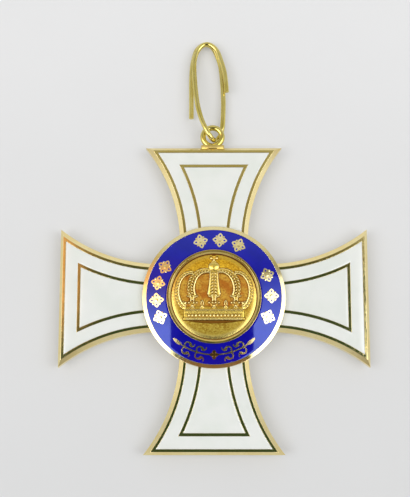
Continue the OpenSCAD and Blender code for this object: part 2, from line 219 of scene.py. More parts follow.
def rounded(points, radii, steps=4, hold=0.0):
    """Rounds the corners of an open outline. Points held off each corner keep the flats shaded as flats."""
    pts = [np.array(p, float) for p in points]
    out = [pts[0]]
    for i in range(1, len(pts) - 1):
        a, b, c = pts[i - 1], pts[i], pts[i + 1]
        u, v = (a - b) / np.linalg.norm(a - b), (c - b) / np.linalg.norm(c - b)
        half = math.acos(max(-1, min(1, float(u @ v)))) / 2
        r = radii[i - 1]
        if r <= 0 or half > 1.5:
            out.append(b)
            continue
        cut = min(r / math.tan(half), 0.48 * np.linalg.norm(a - b), 0.48 * np.linalg.norm(c - b))
        bend = [(1 - t) ** 2 * (b + u * cut) + 2 * t * (1 - t) * b + t * t * (b + v * cut)
                for t in np.linspace(0, 1, steps + 1)]
        if hold:
            bend = [b + u * (cut + hold)] + bend + [b + v * (cut + hold)]
        out.extend(bend)
    out.append(pts[-1])
    return out


def unit(angles):
    """Flat unit vectors at the angles."""
    return np.stack([np.cos(angles), np.sin(angles)], 1)


def arc_points(centre, half, a0, a1, n):
    """Points along an arc of a circle, or of an ellipse where half is a pair of half axes."""
    return unit(np.radians(np.linspace(a0, a1, n))) * half + centre


def turn_flat(points, degrees):
    """Flat points turned about the middle of the cross."""
    a = math.radians(degrees)
    return np.asarray(points) @ np.array([[math.cos(a), math.sin(a)], [-math.sin(a), math.cos(a)]])


def flipped(points, mirror):
    """Flat points, swapped left to right where mirror is -1."""
    return np.asarray(points, float) * [mirror, 1]


def at_height(flat, z):
    """Flat points as points in space."""
    return np.column_stack([flat, np.full(len(flat), z)])


def end_in(side_in):
    """How far the straight end is drawn in where the sides are drawn in by side_in."""
    if side_in <= SIDE_BEVEL:
        return side_in * END_BEVEL / SIDE_BEVEL
    return side_in - (SIDE_BEVEL - END_BEVEL)


def side_curve(side_in, end, cover_r):
    """Upper side of the arm along +X, from the circle of radius cover_r out to x = end."""
    r = SIDE_R + side_in
    x = np.linspace(5, end, 600)
    y = SIDE_Y - np.sqrt(r * r - (x - WAIST_X) ** 2)
    start = np.interp(cover_r, np.hypot(x, y), x)
    a = np.linspace(math.asin((start - WAIST_X) / r), math.asin((end - WAIST_X) / r), N_SIDE)
    return np.stack([WAIST_X + r * np.sin(a), SIDE_Y - r * np.cos(a)], 1)


def arm_path(side_in, drawn_end, cover_r):
    """Open outline of the arm along +X: out along its lower side, across its end and back."""
    end = HALF_SPAN - drawn_end
    upper = side_curve(side_in, end, cover_r)
    lower = upper * [1, -1]
    across = np.linspace(lower[-1], upper[-1], N_END)[1:-1]
    return np.concatenate([lower, across, upper[::-1]])


def cross_loop(side_in, drawn_end, hub_r, z):
    """Closed outline of the whole cross at one height, with the hub's edge between the arms."""
    arm = arm_path(side_in, drawn_end, hub_r)
    phi = math.atan2(arm[-1][1], arm[-1][0])
    hub = hub_r * unit(np.linspace(phi, math.pi / 2 - phi, N_HUB)[1:-1])
    quarter = np.concatenate([arm, hub])
    return at_height(np.concatenate([turn_flat(quarter, turn) for turn in QUARTERS]), z)


def path_at(side_in, cover_r, z):
    """The arm's open outline as points in space."""
    return at_height(arm_path(side_in, end_in(side_in), cover_r), z)


def frame_body():
    """The gold plate: cell floor, ledge, bevel, side wall and the back, as one lofted solid."""
    middle = (Z_FRONT + Z_BACK) / 2
    front = rounded([(EDGE_IN, Z_FRONT - CELL_DEPTH), (EDGE_IN, Z_FRONT), (SIDE_BEVEL, Z_FRONT),
                     (0, Z_FRONT - BEVEL_H), (0, middle)], [0.02, 0.05, 0.16], hold=0.015)
    back = rounded([(0, middle - 0.05), (0, Z_BACK + BACK_BEVEL), (BACK_BEVEL, Z_BACK),
                    (BACK_EDGE_IN, Z_BACK), (BACK_EDGE_IN, Z_BACK + CELL_DEPTH)],
                   [0.12, 0.08, 0.05], hold=0.03)
    loops = [cross_loop(u, end_in(u), HUB_R - u, z) for u, z in front]
    for u, z in back:
        hub = BACK_COVER_R if u > BACK_EDGE_IN - 0.1 else HUB_R - u
        loops.append(cross_loop(u, u, hub, z))
    return loft_closed(loops)


def inner_line():
    """The thin gold line between the band and the field of one arm."""
    low = Z_FRONT - CELL_DEPTH - 0.05
    corners = [(LINE_IN, low), (LINE_IN, Z_FRONT), (FIELD_IN, Z_FRONT), (FIELD_IN, low)]
    section = rounded(corners, [0.02, 0.02], hold=0.015)
    return sweep_section([path_at(u, RIM_COVER_R, z) for u, z in section])


def catmull(points, per_row):
    """Smooth curve through the points, the same as the one in the part's source."""
    p = np.array(points, float)
    p = np.concatenate([[2 * p[0] - p[1]], p, [2 * p[-1] - p[-2]]])
    out = []
    for i in range(1, len(p) - 2):
        a, b, c, d = p[i - 1:i + 3]
        for k in range(per_row):
            t = k / per_row
            out.append(0.5 * (2 * b + (c - a) * t + (2 * a - 5 * b + 4 * c - d) * t * t
                              + (3 * b - a - 3 * c + d) * t ** 3))
    out.append(p[-2])
    return np.array(out)


def tube(path, radii, sides=24):
    """A round tube along a path, with its radius at each point, closed by its first and last rings."""
    rings = []
    side = Vector((1, 0, 0))
    for i, p in enumerate(path):
        t = Vector(path[min(i + 1, len(path) - 1)]) - Vector(path[max(i - 1, 0)])
        t.normalize()
        side = (side - side.dot(t) * t).normalized()
        up = t.cross(side)
        rings.append([tuple(Vector(p) + float(radii[i]) * (math.cos(a) * side + math.sin(a) * up))
                      for a in np.linspace(0, 2 * math.pi, sides, endpoint=False).tolist()])
    return loft_closed([np.array(r) for r in rings])


def torus(centre, ring_r, tube_r, segments=96, sides=32):
    """A ring that lies flat."""
    profile = [(ring_r + tube_r * math.cos(a), tube_r * math.sin(a))
               for a in np.linspace(0, 2 * math.pi, sides, endpoint=False)]
    verts, faces = lathe(profile, segments)
    return verts + np.array(centre), faces


EYELET_D = 4.25
EYELET_HOLE = 2.3
EYELET = (-0.2, HALF_SPAN + 2.15, (Z_BACK + Z_FRONT) / 2)
FOOT_W = 4.0
FOOT_H = 0.6
FOOT_T = 1.3
# The solder in the corner: distance from the foot's middle and from the cross's edge, and radius
SOLDER = [(1.45, 0.45, 0.34), (1.25, 0.62, 0.4), (1.1, 0.85, 0.3)]


def rounded_bar(x0, x1, y0, y1, z0, z1, r):
    """A bar along X with rounded edges and slightly drawn-in ends."""
    section = rounded([(y0, z0), (y0, z1), (y1, z1), (y1, z0), (y0, z0)], [r, r, r], hold=0.04)[:-1]
    mid_y, mid_z = (y0 + y1) / 2, (z0 + z1) / 2
    first = [(x0, 0.72), (x0 + r * 0.5, 0.93), (x0 + r, 1)]
    last = [(x1 - r, 1), (x1 - r * 0.5, 0.93), (x1, 0.72)]
    return loft_closed([[(x, mid_y + (y - mid_y) * k, mid_z + (z - mid_z) * k) for y, z in section]
                        for x, k in first + last])


def eyelet():
    """The soldered eyelet, its foot, and the solder that fills the corner between them."""
    tube_r = (EYELET_D - EYELET_HOLE) / 4
    x, _, z = EYELET
    shape = Shape(torus(EYELET, EYELET_D / 2 - tube_r, tube_r),
                  rounded_bar(x - FOOT_W / 2, x + FOOT_W / 2, HALF_SPAN - 0.1, HALF_SPAN + FOOT_H,
                              z - FOOT_T / 2, z + FOOT_T / 2, 0.2))
    for s in (-1, 1):
        path = [(x + s * out, HALF_SPAN + up, z) for out, up, _ in SOLDER]
        shape.add(tube(path, [r for _, _, r in SOLDER], 20))
    return shape


def build_frame(gold):
    """Plate, inner lines and eyelet as the one soldered piece that they are."""
    shape = Shape(frame_body())
    line = Shape(inner_line())
    for turn in QUARTERS:
        shape.join(line.turned(turn))
    shape.join(eyelet())
    return shape.piece("gilt_frame", gold, "gold", ["cross_frame"])


# How the enamel's surface runs from one wall of its cell to the other: place and height
MENISCUS = [(0, -0.05), (0.012, -0.028), (0.03, -0.014), (0.07, -0.004), (0.16, 0), (0.33, 0.002),
            (0.5, 0.004), (0.67, 0.002), (0.84, 0), (0.93, -0.004), (0.97, -0.014), (0.988, -0.028),
            (1, -0.05)]
ENAMEL_LOW = 0.004
FIELD_START = 10.9
BACK_START = 9.0
PANEL_END = 0.4


def enamel_panel(side_in, drawn_end, start, z_edge, z_floor, sign):
    """A panel of enamel that fills one arm between its sides; sign is 1 on the front and -1 on the back."""
    end = HALF_SPAN - drawn_end - SEAM
    near = end - PANEL_END * np.array([0.6, 0.3, 0.12, 0.05, 0])
    xs = np.concatenate([np.linspace(start, end - PANEL_END, 40), near])
    half = SIDE_Y - np.sqrt((SIDE_R + side_in + SEAM) ** 2 - (xs - WAIST_X) ** 2)
    near_end = np.interp(end - xs, [0, 0.03, 0.07, 0.15, PANEL_END], [-0.05, -0.028, -0.014, -0.004, 0])
    grid = [np.stack([xs, half * (2 * t - 1), z_edge + sign * np.minimum(h, near_end)], 1)
            for t, h in MENISCUS]
    return slab(np.array(grid), z_floor)


def arm_enamel(white, side, turn):
    """The white enamel of one arm: border band and inner field in front, and one plain panel behind."""
    high, floor = Z_FRONT - ENAMEL_LOW, Z_FRONT - CELL_DEPTH + SEAM
    first, last = EDGE_IN + SEAM, LINE_IN - SEAM
    band = np.stack([path_at(first + (last - first) * t, RIM_COVER_R, high + h) for t, h in MENISCUS])
    field = enamel_panel(FIELD_IN, end_in(FIELD_IN), FIELD_START, high, floor, 1)
    back = enamel_panel(BACK_EDGE_IN, BACK_EDGE_IN, BACK_START, Z_BACK + ENAMEL_LOW,
                        Z_BACK + CELL_DEPTH - SEAM, -1)
    for kind, solid in (("band_", slab(band, floor)), ("field_", field), ("back_", back)):
        name = kind + side
        Shape(solid).turned(turn).piece("white_" + name, white, "white_enamel", ["enamel_" + name])


def blue_z(r):
    """Height of the blue ring's surface at a radius: part of a wide sphere."""
    return Z_BLUE_MID + (R_BLUE_MID ** 2 - np.asarray(r) ** 2) / (2 * DOME_R)


def medallion_ring(gold, dull, dark):
    """Outer rim, floor under the enamel, the duller inner bead and the groove, whose dark brown is partly
    patina and partly painted shade, turned as one ring.
    """
    top = lambda r: float(blue_z(r)) + 0.012
    dome = [(r, top(r)) for r in (MEDAL_R, MEDAL_R - 0.07, MEDAL_R - 0.3, RIM_IN + 0.06, RIM_IN)]
    rim = rounded([(MEDAL_R, Z_FRONT + CLEAR)] + dome + [(RIM_IN, Z_BLUE_FLOOR)], [0.04, 0, 0, 0, 0.03], 5)
    high = top(BEAD_OUT) + BEAD_H
    groove = high - BEAD_SLOPE
    bead = rounded([(BEAD_OUT, Z_BLUE_FLOOR), (BEAD_OUT, high - 0.01), (BEAD_OUT - 0.07, high - 0.008),
                    (BEAD_CREST + 0.06, high), (BEAD_CREST, high), (BEAD_IN, groove),
                    (BEAD_IN, Z_DISC_FLOOR)], [0.05, 0, 0, 0.1, 0.04], 5)
    well = [(DISC_R + 0.01, Z_DISC_FLOOR), (DISC_R + 0.01, Z_FRONT + CLEAR)]
    obj = Shape(lathe([*rim, *bead, *well], 320)).piece("medallion_ring", gold, "gold", ["front_medallion"])
    second_material(obj, dull, lambda at: at.xy.length < BEAD_OUT + 0.01)
    # The groove's dark brown: partly patina, partly painted shade.
    second_material(obj, dark, lambda at: at.xy.length < BEAD_IN + 0.02 and at.z < groove - 0.05)


def blue_ring(blue):
    """The ring of blue enamel, domed with the medallion and drawn down a little at both walls."""
    radii = np.linspace(BEAD_OUT + 0.005, RIM_IN - 0.005, 26)
    edge = np.minimum(radii - radii[0], radii[-1] - radii)
    drop = 0.012 * np.clip(1 - edge / 0.12, 0, 1) ** 2
    top = [(r, float(blue_z(r) - d)) for r, d in zip(radii, drop)]
    floor = Z_BLUE_FLOOR + SEAM
    outline = [(radii[0], floor)] + top + [(radii[-1], floor)]
    Shape(lathe(outline, 320)).piece("blue_ring", blue, "blue_enamel", ["front_blue_ring"])


def on_blue(flat, lift):
    """Lifts flat points onto the blue ring's surface."""
    flat = np.asarray(flat, float)
    return np.column_stack([flat, blue_z(np.hypot(flat[:, 0], flat[:, 1])) + lift])


ORNAMENT_H = 0.016
ORNAMENT_SINK = -0.12


def raised_band(outer, inner, closed):
    """A raised gold line between two outlines with as many points, its edges rounded."""
    outer, inner = np.asarray(outer, float), np.asarray(inner, float)
    rows = [on_blue(outer, ORNAMENT_SINK)]
    for t, h in ((0, 0), (0.03, 1), (0.5, 1.02), (0.97, 1), (1, 0)):
        rows.append(on_blue(outer * (1 - t) + inner * t, h * ORNAMENT_H))
    rows.append(on_blue(inner, ORNAMENT_SINK))
    return sweep_ring(rows) if closed else sweep_section(rows)


def raised_disc(centre, r, n=24, dome=1.0):
    """A small boss of gold, domed a little above the flat ornament."""
    ring = unit(np.linspace(0, 2 * math.pi, n, endpoint=False))
    loops = [on_blue(centre + ring * r, ORNAMENT_SINK)]
    for k, h in ((1, 0), (0.95, 1), (0.5, 1 + 0.5 * dome), (0.05, 1 + 0.7 * dome)):
        loops.append(on_blue(centre + ring * r * k, h * ORNAMENT_H))
    return loft_closed(loops)


def path_sides(path, widths):
    """Both sides of a flat line along a path."""
    path = np.asarray(path, float)
    t = np.gradient(path, axis=0)
    t /= np.linalg.norm(t, axis=1)[:, None]
    n = np.stack([-t[:, 1], t[:, 0]], 1)
    w = np.broadcast_to(widths, len(path))[:, None] / 2
    return path + n * w, path - n * w


def leaf_swell(wide):
    """Places from 0 to 1 along a pointed leaf, and how far it swells to each side there."""
    t = np.linspace(0, 1, 15)
    return t, wide / 2 * np.sin(math.pi * t) ** 0.8


def petal_outline(start, long, wide):
    """Closed outline of a pointed petal along +X."""
    t, rise = leaf_swell(wide)
    upper = np.stack([start + long * t, rise], 1)
    return np.concatenate([upper, (upper * [1, -1])[-2:0:-1]])


FLORET = 2.5
PETAL_W = FLORET * 0.34
# Each group: how many florets, the angle of its middle and the step between them, in degrees
FLORET_GROUPS = {"left": (4, 175, 17.5), "top": (3, 84, 19.5), "right": (3, 0.5, 21.5)}


def floret(angle):
    """One floret at its place on the blue ring: four pierced petals, a boss, and four buds on stalks."""
    tip = FLORET / 2
    boss = FLORET * 0.12
    bud = tip * 0.66
    place = lambda pts, turn: turn_flat(turn_flat(pts, turn) + [R_BLUE_MID, 0], angle)
    shape = Shape()
    for turn in QUARTERS:
        outer = petal_outline(boss * 0.6, tip - boss * 0.6, PETAL_W)
        hole = petal_outline(tip * 0.46, tip * 0.3, PETAL_W * 0.3)
        shape.add(raised_band(place(outer, turn), place(hole, turn), True))
        left, right = path_sides([(0.2, 0), (0.4, 0), (0.6, 0), (bud, 0)], 0.16)
        shape.add(raised_band(place(left, turn + 45), place(right, turn + 45), False))
        shape.add(raised_disc(place([(bud, 0)], turn + 45)[0], FLORET * 0.075, 16))
    shape.add(raised_disc(place([(0, 0)], 0)[0], boss))
    return shape


def florets(gold, group):
    """One group of florets on the blue ring."""
    count, mid, step = FLORET_GROUPS[group]
    shape = Shape()
    for i in range(count):
        shape.join(floret(mid + (i - (count - 1) / 2) * step))
    shape.piece("florets_" + group, gold, "gold", ["florets_" + group])


# The scroll spray: the stem's radius, the strokes' width, angles of the tendrils, the leaf's first and last
# angles and width, and the boss's width and height
STEM_R = 9.7
STROKE = 0.3
TENDRILS = (15.4, 28.6)
LEAF = (32.5, 45, 0.6)
BOSS = (1.4, 1.56)
HOOK_R = 0.5
CURL_R = 0.34


def tendril(out):
    """A wide hook off the stem that turns back into a curl, drawn at the lowest place, with its widths."""
    hook = np.array([-0.05, out * HOOK_R])
    lean = math.radians(35)
    curl = hook + (HOOK_R + CURL_R) * np.array([-math.cos(lean), out * math.sin(lean)])
    path = np.concatenate([arc_points(hook, HOOK_R, -out * 90, out * 142, 26),
                           arc_points(curl, CURL_R, -out * 42, -out * 215, 20)])
    place = np.linspace(0, 1, len(path))
    swelling = np.exp(-((place - 0.6) / 0.13) ** 2)
    return path, STROKE * (0.85 + 0.95 * swelling - 0.2 * place)


def spray_half(mirror):
    """Half of the scroll spray: stem, leaf and four tendrils."""
    first, last, wide = LEAF
    stem = path_sides(arc_points((0, 0), STEM_R, -90, -90 + first + 1, 60), STROKE * 0.8)
    sides = [stem]
    for at in TENDRILS:
        for out in (-1, 1):
            sides.append([turn_flat(s + [0, -STEM_R], at) for s in path_sides(*tendril(out))])
    t, swell = leaf_swell(wide)
    around = np.radians(first + (last - first) * t)[1:-1]
    out = np.stack([np.sin(around), -np.cos(around)], 1)
    sides.append([out * (STEM_R + s * swell[1:-1, None]) for s in (1, -1)])
    return Shape(*(raised_band(flipped(a, mirror), flipped(b, mirror), False) for a, b in sides))


def scroll_spray(gold, dull):
    """Both halves, and a boss in the middle: a round with a bud at each of its four corners."""
    shape = spray_half(1)
    shape.join(spray_half(-1))
    wide, tall = BOSS
    centre = np.array([0, -STEM_R])
    middle, bud = wide * 0.36, wide * 0.24
    shape.add(raised_disc(centre, middle, 32, 0.1))
    for x, y in ((1, 0), (-1, 0), (0, 1), (0, -1)):
        at = centre + [x * (wide / 2 - bud), y * (tall / 2 - bud)]
        shape.add(raised_disc(at, bud, 20, 0.1))
    obj = shape.piece("scroll_spray_gold", gold, "gold", ["scroll_spray"])
    second_material(obj, dull, lambda at: math.hypot(at.x / wide, (at.y + STEM_R) / tall) < 0.52)


def to_segment(px, py, a, b):
    """How far along the line from a to b each point lies, from 0 to 1, and its distance from that line."""
    d = b - a
    t = np.clip(((px - a[0]) * d[0] + (py - a[1]) * d[1]) / (d @ d), 0, 1)
    return t, np.hypot(px - a[0] - t * d[0], py - a[1] - t * d[1])


def softened(h, passes):
    """A raster of heights, blurred a little in each pass."""
    for _ in range(passes):
        p = np.pad(h, 1, mode="edge")
        rows = (p[:-2] + 2 * p[1:-1] + p[2:]) / 4
        h = (rows[:, :-2] + 2 * rows[:, 1:-1] + rows[:, 2:]) / 4
    return h


class Relief:
    """A raster of heights, in millimetres, on which the struck crown is built up."""

    def __init__(self, half, pitch):
        self.half = half
        self.pitch = pitch
        axis = np.arange(-half, half + pitch / 2, pitch)
        self.x, self.y = np.meshgrid(axis, axis)
        self.h = np.zeros_like(self.x)

    def window(self, points, reach):
        """The part of the raster within reach of some points, and its samples' places along X and Y."""
        ends = [*(points.min(0) - reach), *(points.max(0) + reach)]
        j0, i0, j1, i1 = (int(np.clip((v + self.half) / self.pitch, 0, len(self.h))) for v in ends)
        w = slice(i0, i1 + 1), slice(j0, j1 + 1)
        return w, self.x[w], self.y[w]

    def raise_to(self, w, height):
        self.h[w] = np.maximum(self.h[w], height)

    def dome(self, x, y, r, base=0.0, tall=1.0, stretch=(1.0, 1.0), turn=0.0):
        """A pearl or a leaf that stands on base; stretch widens it along its own axes, then it is turned."""
        w, px, py = self.window(np.array([(x, y)]), r * max(stretch))
        c, s = math.cos(turn), math.sin(turn)
        u, v = px - x, py - y
        d = np.hypot((u * c + v * s) / (r * stretch[0]), (v * c - u * s) / (r * stretch[1]))
        self.raise_to(w, np.where(d < 1, base + tall * r * np.sqrt(np.clip(1 - d * d, 0, 1)), 0))

    def laurel(self, path, widths, base, tall):
        """Pairs of leaves along a path, each pair a chevron that points back to the path's start."""
        path = np.asarray(path, float)
        run = np.concatenate([[0], np.cumsum(np.linalg.norm(np.diff(path, axis=0), axis=1))])
        for at in np.arange(CHEVRON_STEP / 2, run[-1], CHEVRON_STEP):
            x, y = (np.interp(at, run, path[:, k]) for k in (0, 1))
            next_x, next_y = (np.interp(at + 0.05, run, path[:, k]) for k in (0, 1))
            ahead = math.atan2(next_y - y, next_x - x)
            wide = np.interp(at / run[-1], np.linspace(0, 1, len(widths)), widths)
            for turn in (ahead - 0.9, ahead + 0.9):
                cx, cy = x + wide * 0.27 * math.cos(turn), y + wide * 0.27 * math.sin(turn)
                self.dome(cx, cy, wide * 0.15, base, tall, (1.5, 0.85), turn)

    def strip(self, path, w0, w1, height, base=0.0):
        """A rounded strip whose width runs from w0 to w1."""
        path = np.asarray(path, float)
        w, px, py = self.window(path, max(w0, w1))
        best = np.full(px.shape, FAR)
        place = np.zeros(px.shape)
        count = len(path) - 1
        for i in range(count):
            t, away = to_segment(px, py, path[i], path[i + 1])
            place = np.where(away < best, (i + t) / count, place)
            best = np.minimum(away, best)
        k = np.clip(best / ((w0 + (w1 - w0) * place) / 2), 0, 1)
        self.raise_to(w, np.where(k < 1, base + height * (1 - k ** 2) ** 0.5, 0))

    def inside(self, polygon):
        """Window round a polygon, with the distance to its edge, positive inside."""
        polygon = np.asarray(polygon, float)
        w, px, py = self.window(polygon, 0)
        best = np.full(px.shape, FAR)
        odd = np.zeros(px.shape, bool)
        for a, b in zip(polygon, np.roll(polygon, -1, axis=0)):
            best = np.minimum(best, to_segment(px, py, a, b)[1])
            if a[1] != b[1]:
                crosses = (a[1] > py) != (b[1] > py)
                odd ^= crosses & (px < (b[0] - a[0]) * (py - a[1]) / (b[1] - a[1]) + a[0])
        return w, np.where(odd, best, -best)

    def leaf(self, polygon, height, edge=0.14, base=0.0):
        """A raised shape whose rim is rounded over the width of edge."""
        w, depth = self.inside(polygon)
        k = np.clip(depth / edge, 0, 1)
        self.raise_to(w, np.where(depth > 0, base + height * np.sqrt(1 - (1 - k) ** 2), 0))

    def sample(self, values, x, y):
        """Values of a raster at points between its samples."""
        n = values.shape[0]
        u, v = (np.clip((c + self.half) / self.pitch, 0, n - 1.001) for c in (x, y))
        j, i = u.astype(int), v.astype(int)
        fu, fv = u - j, v - i
        return ((values[i, j] * (1 - fu) + values[i, j + 1] * fu) * (1 - fv)
                + (values[i + 1, j] * (1 - fu) + values[i + 1, j + 1] * fu) * fv)


# The crown, drawn from the middle of the disc. An arch: middle, half axes, angles, widths at top and foot
INNER_ARCH = ((-1.3, 1.4), (2.52, 2.95), 74, 206, 0.7, 1.34)
OUTER_ARCH = ((-3.9, 0.9), (2.25, 3.1), 80, 243, 0.62, 0.84)
CIRCLET = (-4.0, -2.2, 5.0)
PEARL = 0.2
PEARL_STEP = 0.6
PEARL_Y = -3.2
CHEVRON_STEP = 0.52
ORB = (5.06, 0.92, 0.82)
CROSS_Y = 6.5
CROSS_ARMS = (0.7, 0.54, 0.7, 0.54)
LENS = 0.5
POLISH_R = 6.3
RELIEF_SCALE = 0.7
FAR = 1e9


def both_halves(right, x=0, wide=1):
    """A closed outline from its right half, with its middle at x."""
    right = np.asarray(right, float)
    return np.concatenate([right, (right * [-1, 1])[::-1]]) * [wide, 1] + [x, 0]


def two_strips(r, x, wide, path, *sizes):
    """A strip to the right of x, and its mirror image."""
    for s in (-1, 1):
        r.strip(flipped(path, s * wide) + [x, 0], *sizes)


def arch(r, spec, mirror, base):
    """One arch: a low band with a smooth rim inside and a laurel along its back."""
    centre, half, a0, a1, w0, w1 = spec
    path = arc_points(centre, half, a0, a1, 60)
    widths = w0 + (w1 - w0) * np.clip(np.linspace(0, 1.6, 60), 0, 1) ** 0.8
    left, right = path_sides(path, widths)
    r.leaf(flipped(np.concatenate([left, right[::-1]]), mirror), 0.2, 0.1, base)
    r.strip(flipped(path_sides(path, widths - 0.36)[0], mirror), 0.26, 0.34, 0.24, base + 0.18)
    r.laurel(flipped(path_sides(path, widths * 0.26)[1], mirror), widths * 0.9, base + 0.14, 2.2)


def leaf_foot(r, x, wide, pearls):
    """A leaf on the circlet with two lobes, a stem, and pearls in its foot at their places along X."""
    lobes = [(0.3, 0.5), (0.95, 0.12), (1.0, -0.02), (0.55, -0.2), (0.3, -0.5)]
    foot = [(0.3, -0.4), (0.95, -0.98), (0.95, -1.15), (0.55, -1.4), (0.22, -1.7), (0.28, -2.2)]
    r.leaf(both_halves(lobes, x, wide), 0.3, 0.2)
    r.leaf(both_halves(foot, x, wide), 0.06)
    two_strips(r, x, wide, [(0.27, -0.78), (0.24, -0.2), (0.38, 0.25)], 0.2, 0.26, 0.24, 0.2)
    two_strips(r, x, wide, [(0.5, -0.08), (0.95, 0.08)], 0.22, 0.16, 0.14, 0.24)
    two_strips(r, x, wide, [(0.12, -1.5), (0.2, -1.85), (0.45, -2.0)], 0.14, 0.1, 0.1, 0.16)
    for place in pearls:
        r.dome(x + place, -1.06, PEARL * 0.95, 0.1, 1.5)
    r.dome(x, -0.55, PEARL * 0.7, 0.2)
    r.dome(x, -1.55, PEARL * 0.7, 0.18)


def small_fleuron(r, x):
    """A narrow leaf between two of the feet."""
    r.leaf(both_halves([(0.04, -0.6), (0.3, -1.0), (0.42, -1.3), (0.18, -1.6), (0.26, -2.2)], x), 0.08)
    two_strips(r, x, 1, [(0.16, -0.86), (0.22, -1.42)], 0.2, 0.16, 0.26, 0.1)
    two_strips(r, x, 1, [(0.1, -1.55), (0.3, -1.95)], 0.12, 0.12, 0.1, 0.1)
    r.dome(x, -0.74, PEARL * 0.7, 0.12)


def centre_strip(r):
    """The middle arch seen from the front: a laurel between two smooth bands that end in a bell."""
    bell = [(0.72, 4.4), (0.74, 3.2), (0.84, 2.0), (1.0, 1.0), (1.14, 0.4), (1.02, 0.2), (0.62, 0.0),
            (0.34, -0.3), (0.42, -0.75)]
    band = [(0.64, 4.4), (0.66, 3.2), (0.74, 2.0), (0.88, 1.0), (0.98, 0.45)]
    r.leaf(both_halves(bell), 0.24, 0.12)
    two_strips(r, 0, 1, band, 0.1, 0.34, 0.12, 0.22)
    two_strips(r, 0, 1, [(0.24, 0.12), (0.26, -0.5)], 0.22, 0.2, 0.16, 0.22)
    r.laurel([(0, 4.3), (0, 2.3), (0, 0.3)], (1.1, 1.2, 1.4), 0.14, 2.0)


def circlet(r):
    """The band at the crown's foot: a flat, a row of pearls, and mouldings over the lens-shaped dip, which is
    painted in shade.
    """
    low, high, half = CIRCLET
    mouldings = [(low + 0.24, 0.44, 0.2, 0), (-2.62, 0.1, 0.05, 0.1), (high - 0.08, 0.16, 0.1, 0.05)]
    r.leaf([(-half, low), (half, low), (half, high), (-half, high)], 0.2, 0.12)
    for y, wide, tall, inset in mouldings:
        r.strip([(-half + inset, y), (half - inset, y)], wide, wide, tall, 0.18)
    for i in range(-7, 8):
        r.dome(i * PEARL_STEP, PEARL_Y, 0.24, 0.18, 1.3, (0.88, 1.05))


def orb_and_cross(r):
    """The orb over the arches with its cross: four blades that widen outwards, and a pearl on each."""
    y, wide, tall = ORB
    r.dome(0, y, wide, 0.04, 0.5, (1.0, tall / wide))
    r.strip([(-0.26, y + 0.86), (0.26, y + 0.86)], 0.18, 0.18, 0.1, 0.1)
    for turn, arm in zip(QUARTERS, CROSS_ARMS):
        blade = turn_flat([(0.04, -0.12), (arm, -0.3), (arm - 0.06, 0), (arm, 0.3), (0.04, 0.12)], turn)
        r.leaf(blade + [0, CROSS_Y], 0.16, 0.14)
    for x, y, round_r in ((-0.48, 0, 0.25), (0.48, 0, 0.25), (0, 0.32, 0.2), (0, -0.34, 0.2)):
        r.dome(x, CROSS_Y + y, round_r, 0.12, 1.1)


def lens_depth(r):
    """How far each sample lies inside the lens-shaped dip under the circlet, from 0 at its edge to 1; the dip
    is also painted as shadow.
    """
    low, _, half = CIRCLET
    across = np.clip(1 - (r.x / (half - 0.2)) ** 2, 0, 1)
    below = low - 0.02 - r.y
    return np.clip(np.minimum(below, LENS * across - below) / 0.1, 0, 1)


def crown_relief():
    """Heights of the whole disc, and four masks: the orange recess, painted shade in the dips, under the
    circlet and between the pearls, the raised crown, and painted highlights on its crests.
    """
    r = Relief(7.2, 0.02)
    side_leaf = [(-5.3, -0.7), (-4.75, -0.95), (-4.55, -1.4), (-4.75, -2.2), (-5.05, -2.2)]
    for mirror in (1, -1):
        arch(r, OUTER_ARCH, mirror, 0.0)
        arch(r, INNER_ARCH, mirror, 0.06)
        leaf_foot(r, mirror * 3.62, 0.95, [mirror * k for k in (-0.72, -0.24, 0.56, 1.12)])
        small_fleuron(r, mirror * 1.97)
        r.leaf(flipped(side_leaf, mirror), 0.24)
        r.dome(mirror * -4.85, -1.15, PEARL * 1.1, 0.2)
    leaf_foot(r, 0, 1.0, (-0.82, -0.24, 0.24, 0.82))
    centre_strip(r)
    circlet(r)
    orb_and_cross(r)
    raised = softened(r.h, 1) * RELIEF_SCALE
    broad = softened(raised, 30)
    lens = lens_depth(r)
    # Painted shade: dark where the relief dips below its blurred height, in the lens under the circlet and
    # between the pearls, half as strong on the open field.
    between_pearls = (np.abs(r.x) < 4.5) & (np.abs(r.y - PEARL_Y + 0.06) < 0.3) & (raised < 0.17)
    painted_shade = np.maximum(np.clip((broad - raised) * 30 - 0.12, 0, 1), lens)
    painted_shade = np.maximum(painted_shade, 0.7 * between_pearls)
    painted_shade = painted_shade * np.where((raised < 0.02) & (lens <= 0), 0.5, 1)
    silhouette = both_halves([(0.4, 4.2), (2.0, 4.2), (3.3, 3.6), (4.6, 3.95), (5.7, 2.6), (6.1, 0.9),
                              (5.6, -0.9), (4.9, -1.8), (0.1, -1.8)])
    w, depth = r.inside(silhouette)
    recess = np.zeros_like(raised)
    recess[w] = np.clip(depth / 0.3, 0, 1) * np.clip(1 - raised[w] / 0.07, 0, 1)
    out = np.hypot(r.x, r.y) / DISC_R
    r.h = raised - DISC_FALL * np.clip(out, 0, 1) ** 8 - 0.06 * recess - 0.1 * lens
    # Painted highlight on the crests, where the relief stands above its blurred height, kept off the
    # circlet's ends.
    inside = np.clip((CIRCLET[2] - 0.25 - np.abs(r.x)) / 0.1, 0, 1)
    inside = np.where(r.y < CIRCLET[1] + 0.1, inside, 1)
    crest = np.clip((raised - broad) * 44 - 0.1, 0, 1) * inside
    return r, recess, painted_shade, np.clip(raised / 0.08, 0, 1), crest


